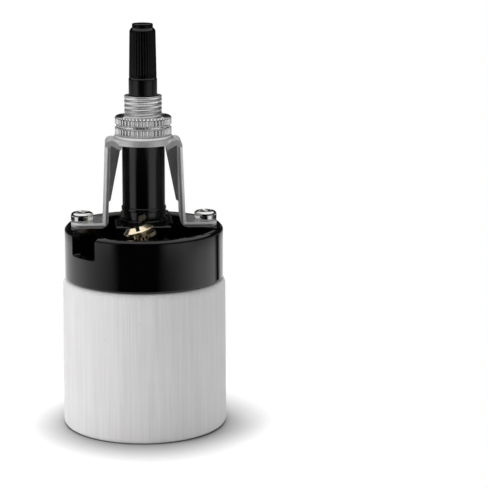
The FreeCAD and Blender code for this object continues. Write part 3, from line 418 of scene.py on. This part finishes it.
def profile(corners, step):
    """Points (r, z) along a line with rounded corners, at most a step apart.

    Each corner (r, z, rounding) becomes a short arc: the point at turn t of the rounding runs
    on a quadratic curve from one tangent point to the other.
    """
    pts = np.array([c[:2] for c in corners], float)
    line = [pts[:1]]
    for before, here, after, corner in zip(pts, pts[1:], pts[2:], corners[1:-1]):
        cut = corner[2]
        start = here + (before - here) / np.linalg.norm(before - here) * cut
        end = here + (after - here) / np.linalg.norm(after - here) * cut
        t = np.linspace(0, 1, ROUND_POINTS if cut > 0 else 1)[:, None]
        line.append(start * (1 - t) ** 2 + 2 * here * t * (1 - t) + end * t ** 2)
    line.append(pts[-1:])
    line = np.concatenate(line)
    pieces = [line[:1]]
    for a, b in zip(line, line[1:]):
        count = max(1, int(np.ceil(np.linalg.norm(b - a) / step)))
        pieces.append(a + (b - a) * np.linspace(0, 1, count + 1)[1:, None])
    return np.concatenate(pieces)


def fade(value, low, high):
    """Smooth step from 0 at low to 1 at high."""
    t = np.clip((value - low) / (high - low), 0, 1)
    return t * t * (3 - 2 * t)


print("profiles ready")

# %% [markdown]
# ## Turned pieces
# The points come from one grid sum, and the faces from the grid's own numbering, so no loop runs
# over points. A relief function may take some depth off the radius at each point, which is how
# flutes, knurls and threads are made, and a sink function some depth off the level, for what is
# punched from above.

# %% Turned pieces
SHARP_EDGE = math.radians(38)


def carried(line, sides, relief=None, sink=None):
    """Grid of a profile carried round Z: x = r cos u, y = r sin u, z = z.

    relief(u, r, z) gives the depth in millimetres that comes off the radius, and sink(u, r, z)
    the depth that comes off the level.
    """
    radius, height = line.T
    u = np.linspace(0, 2 * np.pi, sides, endpoint=False)[:, None]
    reach = radius - (relief(u, radius, height) if relief else 0)
    reach = np.broadcast_to(reach, (sides, len(radius)))
    level = reach * 0 + height - (sink(u, radius, height) if sink else 0)
    return np.stack([reach * np.cos(u), reach * np.sin(u), level], axis=2)


def wall(sides, rows, closed):
    """Quads of a grid that meets itself round the axis, and also end to end if it is closed."""
    i = np.arange(sides)[:, None] * rows
    j = np.arange(rows if closed else rows - 1)[None, :]
    above = (j + 1) % rows
    beside = np.roll(i, -1, axis=0)
    return np.stack([i + j, beside + j, beside + above, i + above], axis=2).reshape(-1, 4).tolist()


def piece_of(name, points, faces, material):
    """Object from points in millimetres, smooth but for its sharp edges."""
    mesh = bpy.data.meshes.new(name)
    mesh.from_pydata((points * MM).tolist(), [], faces)
    mesh.update()
    mesh.shade_smooth()
    mesh.set_sharp_from_angle(angle=SHARP_EDGE)
    mesh.materials.append(material)
    piece = bpy.data.objects.new(name, mesh)
    bpy.context.scene.collection.objects.link(piece)
    print(name, "triangles:", sum(len(face) - 2 for face in faces))
    return piece


def turned(name, corners, sides, step, material, relief=None, sink=None):
    """Piece whose profile starts and ends on the axis, where it closes in one point each."""
    line = profile(corners, step)
    grid = carried(line[1:-1], sides, relief, sink)
    rows = len(line) - 2
    ends = np.array([[0, 0, line[0, 1]], [0, 0, grid[:, -1, 2].mean()]])
    i = np.arange(sides) * rows
    beside = np.roll(i, -1)
    first = np.stack([i * 0 + sides * rows, beside, i], axis=1)
    last = np.stack([i * 0 + sides * rows + 1, i + rows - 1, beside + rows - 1], axis=1)
    faces = wall(sides, rows, False) + first.tolist() + last.tolist()
    return piece_of(name, np.concatenate([grid.reshape(-1, 3), ends]), faces, material)


def ring(name, corners, sides, step, material, relief):
    """Piece whose profile closes on itself round a hole."""
    line = profile(corners, step)[:-1]
    grid = carried(line, sides, relief)
    return piece_of(name, grid.reshape(-1, 3), wall(sides, len(line), True), material)


print("lathe ready")

# %% [markdown]
# ## The knob
# It is moulded with thirty-six scalloped flutes from the bevel ring up to a rounded shoulder,
# and a small collar stands on top. A scallop is the size of a sine wave's arch, so the depth is
# the flute depth times |sin(18 u)|, which leaves sharp ridges between round hollows.

# %% Knob
KNOB_R, KNOB_FOOT, KNOB_TOP = extent("knob")
KNOB_HOLE_R, KNOB_HOLE_L = 1.6, 13.0
CAP_R, CAP_H = 2.4, 1.0
SHOULDER_R = 2.99
SHOULDER_Z = KNOB_TOP - CAP_H
RING_Z = KNOB_FOOT + 9.15
FLUTES = 36
FLUTE_DEPTH = 0.06
HOLE_TOP = KNOB_FOOT + KNOB_HOLE_L
KNOB_CORNERS = [
    (0, HOLE_TOP, 0),
    (KNOB_HOLE_R, HOLE_TOP, 0),
    (KNOB_HOLE_R, KNOB_FOOT, 0),
    (KNOB_R, KNOB_FOOT, 0.3),
    (KNOB_R, RING_Z, 0.08),
    (KNOB_R - 0.2, RING_Z + 0.2, 0.03),
    (KNOB_R - 0.1, RING_Z + 0.3, 0.03),
    (SHOULDER_R, SHOULDER_Z - 0.6, 0.3),
    (CAP_R + 0.2, SHOULDER_Z - 0.05, 0.15),
    (CAP_R, SHOULDER_Z, 0.02),
    (CAP_R, KNOB_TOP, 0.3),
    (0, KNOB_TOP, 0),
]


def flutes(u, r, z):
    """Flute depth times |sin| of half the flute count times u, faded in at both ends."""
    band = fade(z, RING_Z + 0.3, RING_Z + 0.8) * fade(z, SHOULDER_Z, SHOULDER_Z - 0.9)
    return FLUTE_DEPTH * np.abs(np.sin(FLUTES / 2 * u)) * band


knob = turned("fluted_knob", KNOB_CORNERS, FLUTES * 10, 0.35, KNOB_BLACK, flutes)
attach(knob, "turn_knob")
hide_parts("knob")

# %% [markdown]
# ## The nipple
# Its thread is rolled, which leaves the crests round. Right-handed means that a crest climbs as the
# angle grows: the phase is z over the pitch less u over a full turn. The depth is a raised cosine
# to a power, which keeps the crests broad and the roots narrow, and it fades out under the thin
# rim. A stack of level rings would be simpler, but its crests would not climb.

# %% Nipple
COLLAR_R, NIPPLE_LOW, NIPPLE_TOP = extent("threaded_nipple")
NIPPLE_R = 4.35
PLUG_R = 3.9
BORE_R, MOUTH_R, MOUTH_L = 3.7, 4.05, 1.2
SPINDLE_HOLE_R = 2.4
FLOOR_T = 0.1
COLLAR_LOW, COLLAR_TOP = NIPPLE_LOW + 9.0, NIPPLE_LOW + 10.0
BORE_FLOOR = KNOB_FOOT - 0.8
PITCH = 1.06
THREAD_DEPTH = 0.16
CREST_POWER = 1.3
CREST_Z = NIPPLE_TOP - 1.15
NIPPLE_CORNERS = [
    (0, NIPPLE_LOW, 0),
    (SPINDLE_HOLE_R, NIPPLE_LOW, 0),
    (PLUG_R, NIPPLE_LOW, 0.2),
    (PLUG_R, COLLAR_LOW, 0),
    (COLLAR_R, COLLAR_LOW, 0),
    (COLLAR_R, COLLAR_TOP, 0),
    (NIPPLE_R, COLLAR_TOP, 0),
    (NIPPLE_R, NIPPLE_TOP, 0.12),
    (MOUTH_R, NIPPLE_TOP, 0.05),
    (BORE_R, NIPPLE_TOP - MOUTH_L, 0.2),
    (BORE_R, BORE_FLOOR, 0),
    (SPINDLE_HOLE_R, BORE_FLOOR, 0),
    (SPINDLE_HOLE_R, NIPPLE_LOW + FLOOR_T, 0),
    (0, NIPPLE_LOW + FLOOR_T, 0),
]


def thread(u, r, z):
    """Depth times (half less half the cosine of the phase) to a power, on the outside only."""
    phase = (z - CREST_Z) / PITCH - (u + np.pi / 2) / (2 * np.pi)
    wave = (0.5 - 0.5 * np.cos(2 * np.pi * phase)) ** CREST_POWER
    outside = (r > NIPPLE_R - 0.05) & (z > COLLAR_TOP + 0.05) & (z < NIPPLE_TOP - 0.05)
    return THREAD_DEPTH * wave * outside * fade(z, NIPPLE_TOP - 0.2, NIPPLE_TOP - 0.9)


nipple = turned("rolled_nipple", NIPPLE_CORNERS, 144, 0.09, ROLLED_ALUMINIUM, thread)
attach(nipple, "socket")
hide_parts("threaded_nipple")

# %% [markdown]
# ## The ring nut
# A straight knurl is rolled over the whole rim. Two narrow grooves are then turned through its
# middle with a low smooth ridge between them, which parts it into two bands. Each tooth is a
# trapezoid: a clipped triangle wave gives flat crests and flat roots with short flanks.

# %% Ring nut
NUT_R, NUT_LOW, NUT_TOP = extent("ring_nut")
HOLE_R = NIPPLE_R + 0.06
CHAMFER = 0.35
BAND_H = 1.4
DISH_DEPTH = 1.0
GROOVE_R = NUT_R - 0.48
RIDGE_R = GROOVE_R + 0.2
GROOVE_LOW = NUT_LOW + CHAMFER + BAND_H
GROOVE_TOP = NUT_TOP - CHAMFER - BAND_H
TEETH = 46
TOOTH_DEPTH = 0.24
NUT_CORNERS = [
    (HOLE_R, NUT_LOW + 0.4, 0),
    (HOLE_R, NUT_LOW, 0),
    (NUT_R - CHAMFER, NUT_LOW, 0),
    (NUT_R, NUT_LOW + CHAMFER, 0.08),
    (NUT_R, GROOVE_LOW, 0.08),
    (GROOVE_R, GROOVE_LOW + 0.1, 0.04),
    (RIDGE_R, GROOVE_LOW + 0.22, 0.1),
    (RIDGE_R, GROOVE_TOP - 0.22, 0.1),
    (GROOVE_R, GROOVE_TOP - 0.1, 0.04),
    (NUT_R, GROOVE_TOP, 0.08),
    (NUT_R, NUT_TOP - CHAMFER, 0.1),
    (NUT_R - 0.3, NUT_TOP, 0.1),
    (NUT_R - 0.65, NUT_TOP, 0.1),
    (NUT_R - 1.0, NUT_TOP - DISH_DEPTH, 0.25),
    (HOLE_R, NUT_TOP - DISH_DEPTH, 0.05),
    (HOLE_R, NUT_LOW + 0.4, 0),
]


def knurl(u, r, z):
    """Tooth depth times a clipped triangle wave, where the radius is near the rim."""
    triangle = np.abs(((u * TEETH / (2 * np.pi)) % 1) * 2 - 1)
    tooth = np.clip((triangle - 0.15) / 0.6, 0, 1)
    return TOOTH_DEPTH * tooth * fade(r, NUT_R - 0.3, NUT_R - 0.12)


nut = ring("knurled_ring_nut", NUT_CORNERS, TEETH * 12, 0.3, TURNED_ALUMINIUM, knurl)
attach(nut, "nut")
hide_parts("ring_nut")

# %% [markdown]
# ## The bracket's screws
# A pan head has a flat crown and a round shoulder, and a cross is punched in it. The cross is
# where the smaller of two crossed distances is under half its width: there the level sinks. The
# crosses stand as the driver left them, each at its own angle.

# %% Pan heads
PAN_R, PAN_H = 2.62, 2.1
SHANK_R, SHANK_L, POINT_L = 1.4, 9.5, 1.0
CROSS_HALF, CROSS_REACH, CROSS_DEPTH, CROSS_EDGE = 0.36, 1.6, 0.9, 0.08
CROSS_ANGLES = {"left": 0.45, "right": 0.2}
PAN_CORNERS = [
    (0, FOOT_TOP - SHANK_L, 0),
    (SHANK_R * 0.6, FOOT_TOP - SHANK_L, 0),
    (SHANK_R, FOOT_TOP - SHANK_L + POINT_L, 0),
    (SHANK_R, FOOT_TOP, 0),
    (PAN_R, FOOT_TOP, 0.12),
    (PAN_R, FOOT_TOP + PAN_H - 0.25, 0.8),
    (0, FOOT_TOP + PAN_H, 0),
]


def cross(angle):
    """Depth of the punched cross, whose arms stand at an angle."""
    def sink(u, r, z):
        along = np.abs(r * np.cos(u - angle))
        aside = np.abs(r * np.sin(u - angle))
        near, far = np.minimum(along, aside), np.maximum(along, aside)
        inside = fade(near, CROSS_HALF + CROSS_EDGE, CROSS_HALF - CROSS_EDGE)
        return CROSS_DEPTH * inside * fade(far, CROSS_REACH, CROSS_REACH - 0.5) * (z > FOOT_TOP + 1)
    return sink


for side, angle in CROSS_ANGLES.items():
    old = nodes["bracket_screw_" + side]
    middle = sum((Vector(c) for c in old.bound_box), Vector()) / 8
    head = turned("pan_screw_" + side, PAN_CORNERS, 180, 0.08, NICKEL, None, cross(angle))
    head.data.transform(Matrix.Translation((middle.x, middle.y, 0)))
    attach(head, "socket")
    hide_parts("bracket_screw_" + side)

# %% [markdown]
# ## Camera
# A camera fitted to the outlines gives its distance, height, heading and pitch. The bracket is
# turned two degrees from that camera's own axis, so the camera goes round by the same angle.

# %% Camera
DISTANCE = 416.97
HEIGHT = 133.375
HEADING = 0.05608
PITCH_DOWN = 0.21393
ROLL = 0.00398
ROUND = math.radians(2.0)
FOCUS_PX = 1820.64
PICTURE_PX = 488
SENSOR = 36

eye = Vector((-DISTANCE * math.sin(ROUND), -DISTANCE * math.cos(ROUND), HEIGHT)) * MM
yaw = HEADING + ROUND
forward = Vector((math.sin(yaw) * math.cos(PITCH_DOWN), math.cos(yaw) * math.cos(PITCH_DOWN),
                  -math.sin(PITCH_DOWN)))
level = Vector((math.cos(yaw), -math.sin(yaw), 0))
over = level.cross(forward)
right = level * math.cos(ROLL) + over * math.sin(ROLL)
up = over * math.cos(ROLL) - level * math.sin(ROLL)
camera_data = bpy.data.cameras.new("camera")
camera_data.sensor_width = SENSOR
camera_data.lens = FOCUS_PX * SENSOR / PICTURE_PX
camera_data.clip_start = 0.01
camera_data.clip_end = 20
camera = bpy.data.objects.new("camera", camera_data)
turn = Matrix((right, up, -forward)).transposed().to_4x4()
camera.matrix_world = Matrix.Translation(eye) @ turn
bpy.context.scene.collection.objects.link(camera)
bpy.context.scene.camera = camera
print("lens", round(camera_data.lens, 2), "mm")

# %% [markdown]
# ## World
# The socket stands on white paper in a white room. Gloss black and bright metal show that room
# more than themselves, so the room is full white where the camera, a mirror or a glass looks at
# it. What it sheds on matt surfaces is less, or else the lamps could shape nothing.

# %% World
SKY_LEVEL = 0.3


def looked_at(t):
    """1 for rays of the camera, of mirrors and of glass, or else 0."""
    path = t.tree.nodes.new("ShaderNodeLightPath")
    camera_ray, glossy, glass = (Wire(t.tree, path.outputs["Is " + kind + " Ray"])
                                 for kind in ("Camera", "Glossy", "Transmission"))
    return t.maths("MAXIMUM", camera_ray, t.maths("MAXIMUM", glossy, glass))


def make_world():
    """White to the camera, to mirrors and through glass; a plainer level for the rest."""
    world = bpy.data.worlds.new("studio")
    world.use_nodes = True
    bpy.context.scene.world = world
    t = Tree(world.node_tree)
    level = t.node("Background", {}, {"Color": (1, 1, 1, 1), "Strength": SKY_LEVEL})
    white = t.node("Background", {}, {"Color": (1, 1, 1, 1), "Strength": 1.0})
    t.end(t.mixed(looked_at(t), level, white), "OutputWorld")


make_world()
print("world ready")

# %% [markdown]
# ## Floor
# The paper is white and takes the socket's shadow. The lamps fall off with distance, as lamps do,
# so the paper's own white takes over between 3 and 6 cm from the axis, and the far part can't turn
# grey. Near the foot the lamps' shadow is deepened with painted shadow: the Ambient Occlusion node
# finds the narrow places round the foot, and a power of it darkens the paper's colour there.

# %% Floor
FLOOR_HALF = 3.0
PAPER_FROM, PAPER_TO = 0.03, 0.06
SHADOW_PAINT_REACH = 0.014
SHADOW_PAINT_POWER = 1.3


def sheet(name, points, faces, material):
    """A stage piece from points in metres."""
    mesh = bpy.data.meshes.new(name)
    mesh.from_pydata(np.asarray(points).tolist(), [], np.asarray(faces).tolist())
    mesh.shade_smooth()
    mesh.materials.append(material)
    made = bpy.data.objects.new(name, mesh)
    bpy.context.scene.collection.objects.link(made)
    return made


def paper(name):
    t = blank(name)
    x, y, _ = t.parts(t.place())
    far = t.node("MapRange", {"interpolation_type": "SMOOTHSTEP"},
                 {"Value": (x * x + y * y) ** 0.5, "From Min": PAPER_FROM, "From Max": PAPER_TO})
    own = t.node("Emission", {}, {"Color": (1, 1, 1, 1), "Strength": 1.0})
    lit = t.node("BsdfDiffuse", {}, {"Color": (0.9, 0.9, 0.9, 1)})
    # Painted shadow: near the foot the paper's colour is the occlusion to a power, on top of the
    # lamps' real shadow.
    near = t.node("AmbientOcclusion", {"samples": 16}, {"Distance": SHADOW_PAINT_REACH}, out="AO")
    shade = t.between(near ** SHADOW_PAINT_POWER, (0, 0, 0, 1), (1, 1, 1, 1))
    painted_shadow_paper = t.node("BsdfDiffuse", {}, {"Color": shade})
    t.end(t.mixed(looked_at(t), lit, t.mixed(far, painted_shadow_paper, own)))
    return bpy.data.materials[name]


h = FLOOR_HALF
sheet("floor", [(-h, -h, 0), (h, -h, 0), (h, h, 0), (-h, h, 0)], [(0, 1, 2, 3)],
      paper("white paper"))
print("floor ready")

# %% [markdown]
# ## Where an upright wall looks
# A photographer lays black cloth where gloss must stay dark, and leaves white beside it. The
# camera looks down on the socket, so an upright wall mirrors the floor, at its level times the
# camera's distance over what the camera's height has above that level. The cup sees the floor 0.09
# to 0.22 m out, the neck 0.22 to 0.41 m, the nut and nipple 0.43 to 0.59 m, the plain part of the
# knob 0.60 to 0.70 m, and the flutes see it beyond. So the cloth has a rule for each of these five
# rings: how thick it is at each share of the turn, where 0 and 1 are the back, 0.25 the left, 0.5
# the camera's side and 0.75 the right.

# %% Rules of the cloth
NEAR_RULE = [(0.0, 0.0), (0.22, 0.0), (0.30, 0.4), (0.37, 0.75), (0.40, 1.0), (0.54, 1.0),
             (0.61, 0.72), (0.66, 0.4), (0.72, 0.0), (0.82, 0.0), (0.845, 1.0), (0.86, 1.0),
             (0.885, 0.0)]
NECK_RULE = [(0.0, 0.8), (0.14, 0.95), (0.22, 1.0), (0.26, 0.9), (0.29, 0.2), (0.355, 0.2),
             (0.385, 1.0), (0.55, 1.0), (0.59, 0.25), (0.66, 0.2), (0.71, 0.9), (0.80, 1.0),
             (0.86, 1.0), (0.95, 0.8), (1.0, 0.8)]
METAL_RULE = [(0.0, 0.3), (0.18, 0.3), (0.22, 0.1), (0.38, 0.0), (0.41, 0.9), (0.51, 0.9),
              (0.53, 0.5), (0.57, 0.3), (0.70, 0.25), (0.725, 0.7), (0.75, 0.7), (0.775, 0.2),
              (0.88, 0.4), (1.0, 0.3)]
KNOB_RULE = [(0.0, 0.7), (0.14, 0.85), (0.22, 0.9), (0.26, 0.8), (0.29, 0.25), (0.365, 0.25),
             (0.38, 1.0), (0.575, 1.0), (0.60, 0.4), (0.68, 0.3), (0.73, 0.9), (0.80, 0.95),
             (0.86, 0.9), (0.95, 0.8), (1.0, 0.7)]
FLUTE_RULE = [(0.0, 0.93), (0.24, 0.93), (0.29, 0.86), (0.38, 0.86), (0.41, 1.0), (0.55, 1.0),
              (0.58, 0.92), (0.70, 0.9), (0.80, 0.95), (1.0, 0.93)]
RINGS = [(0.21, 0.24, NECK_RULE), (0.40, 0.42, METAL_RULE), (0.555, 0.575, KNOB_RULE),
         (0.68, 0.72, FLUTE_RULE)]
print("rings beyond the near rule, in metres:", [(low, high) for low, high, _ in RINGS])

# %% [markdown]
# ## Black cloth
# One round cloth lies outside the picture and goes up at its rim. Only mirror-like reflections
# see it, so it casts no shadow. Level tops look up and back instead of down, so the rear part of
# what hangs keeps them dark. Cut pieces of cloth would do the same, but with hard ends, where a
# rule runs softly from black into white.

# %% Cloth
CLOTH_IN, CLOTH_OUT, CLOTH_TOP = 0.08, 0.85, 0.60
CLOTH_LEVEL = 0.0004
CLOTH_STEPS = 200
BEHIND_RULE = [(0.0, 1.0), (0.16, 1.0), (0.22, 0.0), (0.78, 0.0), (0.84, 1.0)]
HANGING = [(0.0, 0.0), (0.12, 0.0), (0.18, 0.82), (0.75, 0.82), (0.9, 0.0)]


def cloth_weave(name):
    """Cloth that lets through what the rules leave open."""
    t = blank(name)
    x, y, z = t.parts(t.place())
    turn_share = t.maths("ARCTAN2", x, y * -1.0) / (2 * math.pi) + 0.5
    radius = (x * x + y * y) ** 0.5
    thick = t.ramp(turn_share, NEAR_RULE)
    for low, high, rule in RINGS:
        beyond = t.node("MapRange", {}, {"Value": radius, "From Min": low, "From Max": high})
        thick = t.between(beyond, thick, t.ramp(turn_share, rule))
    hung = t.ramp(z / CLOTH_TOP, HANGING)
    behind = t.between(t.ramp(turn_share, BEHIND_RULE), thick, (1, 1, 1, 1))
    thick = t.between(hung, thick, behind)
    black = t.node("BsdfDiffuse", {}, {"Color": (0.001, 0.001, 0.001, 1)})
    t.end(t.mixed(thick, t.node("BsdfTransparent"), black))
    return bpy.data.materials[name]


def make_cloth():
    """x = r sin u and y = -r cos u over the floor, and then straight up at the rim."""
    turn = np.linspace(-0.5, 0.5, CLOTH_STEPS + 1) * 2 * np.pi
    reach = np.array([CLOTH_IN, 0.3, 0.6, CLOTH_OUT, CLOTH_OUT, CLOTH_OUT])
    level = np.array([CLOTH_LEVEL] * 4 + [CLOTH_TOP / 2, CLOTH_TOP])
    grid = np.stack([np.sin(turn)[:, None] * reach, -np.cos(turn)[:, None] * reach,
                     np.broadcast_to(level, (len(turn), len(level)))], axis=2)
    rows = len(reach)
    i = np.arange(len(turn) - 1)[:, None] * rows + np.arange(rows - 1)[None, :]
    quads = np.stack([i, i + rows, i + rows + 1, i + 1], axis=2).reshape(-1, 4)
    cloth = sheet("black cloth", grid.reshape(-1, 3), quads, cloth_weave("black cloth"))
    cloth.visible_camera = False
    cloth.visible_diffuse = False
    cloth.visible_shadow = False


make_cloth()
print("cloth ready, with", len(RINGS) + 1, "rules")

# %% [markdown]
# ## Lamps
# A broad panel overhead makes the soft shadow that hugs the base, and a panel on each side
# shapes the round forms, the left one brighter. They are kept out of mirror-like reflections,
# because the white room beside the cloth stands in for them there.

# %% Lamps
AIM = (0, 0, 0.045)


def panel(name, place, size, power):
    """Square soft lamp at a place in metres, aimed at the middle of the socket."""
    data = bpy.data.lights.new(name, "AREA")
    data.shape = "SQUARE"
    data.size = size
    data.energy = power
    lamp = bpy.data.objects.new(name, data)
    lamp.location = place
    lamp.rotation_mode = "QUATERNION"
    lamp.rotation_quaternion = (Vector(AIM) - Vector(place)).to_track_quat("-Z", "Y")
    lamp.visible_glossy = False
    lamp.visible_camera = False
    bpy.context.scene.collection.objects.link(lamp)


panel("overhead", (0.0, 0.12, 0.62), 0.3, 3.0)
panel("left panel", (-0.55, -0.2, 0.3), 0.4, 2.1)
panel("right panel", (0.6, -0.2, 0.3), 0.4, 0.4)
bpy.context.scene.view_settings.view_transform = "Standard"
print("lamps ready")
